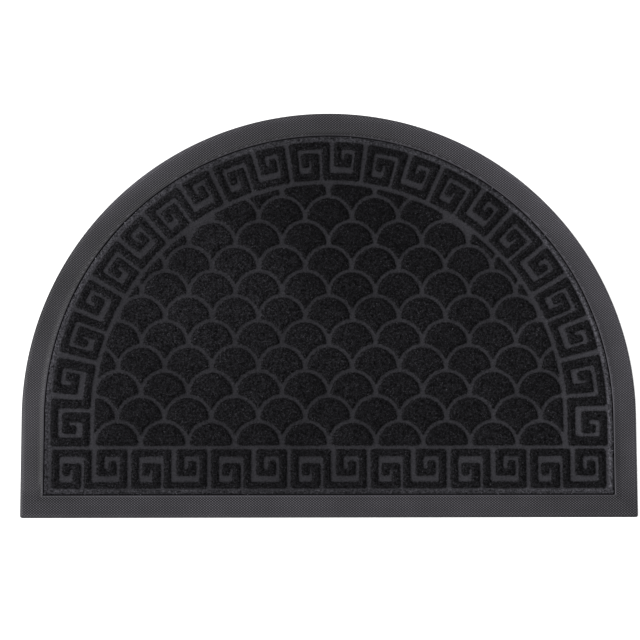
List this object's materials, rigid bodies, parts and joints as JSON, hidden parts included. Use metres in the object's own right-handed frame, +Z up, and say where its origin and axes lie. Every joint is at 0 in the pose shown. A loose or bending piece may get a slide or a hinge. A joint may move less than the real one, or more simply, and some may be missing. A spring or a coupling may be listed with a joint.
{
  "type": "half-round doormat",
  "caption": "Half-round doormat: a black pile carpet pressed into raised scales and a key border, set in a flat moulded rubber base with a sloping edge.",
  "frame": {"origin": "middle of the mat's flat underside, which rests on the floor", "axes": "+X along the straight front edge, +Y towards the crown of the arch, +Z up out of the pile"},
  "size_m": [0.6, 0.4, 0.007],
  "materials": {
    "rubber_base": "matt dark grey moulded rubber with a fine diamond knurl on the border",
    "pile_carpet": "short black synthetic pile, flattened and a little greyer where it is pressed"
  },
  "bodies": {
    "root": {"rubber_base": "rubber_base", "pile_carpet": "pile_carpet"}
  },
  "joints": []
}
